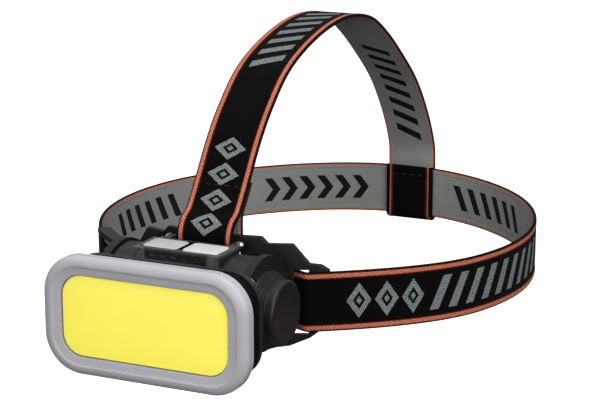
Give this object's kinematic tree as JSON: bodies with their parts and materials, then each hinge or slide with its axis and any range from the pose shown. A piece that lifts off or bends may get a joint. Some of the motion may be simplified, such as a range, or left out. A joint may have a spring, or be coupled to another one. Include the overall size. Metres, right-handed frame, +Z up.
{
  "type": "headlamp",
  "caption": "Rechargeable headlamp: wide flood panel in a grey bezel on a tilting lamp body, held by a curved bracket on an elastic head band with a top strap.",
  "frame": {"origin": "centre of the head band's loop, at mid height of its webbing: the centre of the wearer's head", "axes": "the lamp faces -Y, +Z is up over the top strap, +X is the wearer's left"},
  "size_m": [0.1946, 0.2687, 0.1274],
  "materials": {
    "black_plastic": "moulded, fine satin grain",
    "housing_plastic": "moulded, satin with soft edge shine",
    "grey_plastic": "satin, rounded rim",
    "frame_plastic": "satin",
    "button_plastic": "satin, pale",
    "webbing": "woven elastic, black face with orange edge stripes, grey back",
    "thread": "polyester thread",
    "foam": "open cell foam, cloth faced",
    "rubber_black": "matte",
    "rubber_red": "matte",
    "clear_lens": "clear polished",
    "phosphor": "flat yellow silicone over the light chips",
    "board_white": "white solder mask on aluminium",
    "board_green": "green solder mask",
    "chip_black": "moulded",
    "wire_red": "insulated wire",
    "sink_aluminium": "extruded",
    "screw_steel": "zinc plated",
    "rivet_steel": "polished",
    "light_pipe": "frosted",
    "cell_wrap": "shrink sleeve",
    "contact_brass": "stamped"
  },
  "bodies": {
    "headset": {"bracket": "black_plastic", "forehead_pad": "foam", "head_band": "webbing", "top_strap": "webbing", "band_slider": "black_plastic", "strap_stitches": "thread"},
    "lamp": {"bezel_frame": "grey_plastic", "lens_cover": "clear_lens", "cob_panel": "phosphor", "cob_board": "board_white", "bezel_gasket": "rubber_black", "heat_sink": "sink_aluminium", "driver_board": "board_green", "driver_parts": "chip_black", "led_leads": "wire_red", "front_housing": "housing_plastic", "rear_housing": "housing_plastic", "housing_screws": "screw_steel", "tilt_washers": "screw_steel", "button_frame": "frame_plastic", "frame_rivets": "rivet_steel", "button_switches": "chip_black", "switch_board": "board_green", "indicator_lights": "light_pipe", "usb_port": "screw_steel", "battery_cell": "cell_wrap", "contact_spring": "screw_steel", "left_end_cap": "housing_plastic"},
    "power_key": {"power_button": "button_plastic"},
    "mode_key": {"mode_button": "button_plastic"},
    "port_flap": {"usb_cover": "rubber_black"},
    "cap_carrier": {"cap_seal": "rubber_red"},
    "screw_cap": {"battery_cap": "housing_plastic", "cap_contact": "contact_brass"}
  },
  "joints": [
    {"name": "head_tilt", "type": "hinge", "parent": "headset", "child": "lamp", "pos_m": [0, -0.121, 0.0036], "axis": [1, 0, 0], "range_deg": [0, 60]},
    {"name": "power_press", "type": "slide", "parent": "lamp", "child": "power_key", "axis": [0, 0, -1], "range_m": [0, 0.0008], "stiffness_N_per_m": 1500, "springref_m": -0.0003},
    {"name": "mode_press", "type": "slide", "parent": "lamp", "child": "mode_key", "axis": [0, 0, -1], "range_m": [0, 0.0008], "stiffness_N_per_m": 1500, "springref_m": -0.0003},
    {"name": "port_flap_swing", "type": "hinge", "parent": "lamp", "child": "port_flap", "pos_m": [-0.04345, -0.1468, 0.0036], "axis": [0, 0, -1], "range_deg": [0, 100]},
    {"name": "cap_travel", "type": "slide", "parent": "lamp", "child": "cap_carrier", "axis": [1, 0, 0], "range_m": [0, 0.003]},
    {"name": "cap_turn", "type": "hinge", "parent": "cap_carrier", "child": "screw_cap", "pos_m": [0.04, -0.121, 0.0036], "axis": [1, 0, 0], "range_deg": [0, 722]}
  ],
  "couplings": [
    {"joint": "cap_turn", "follows": "cap_travel", "rad_per_m": 4188.8}
  ]
}
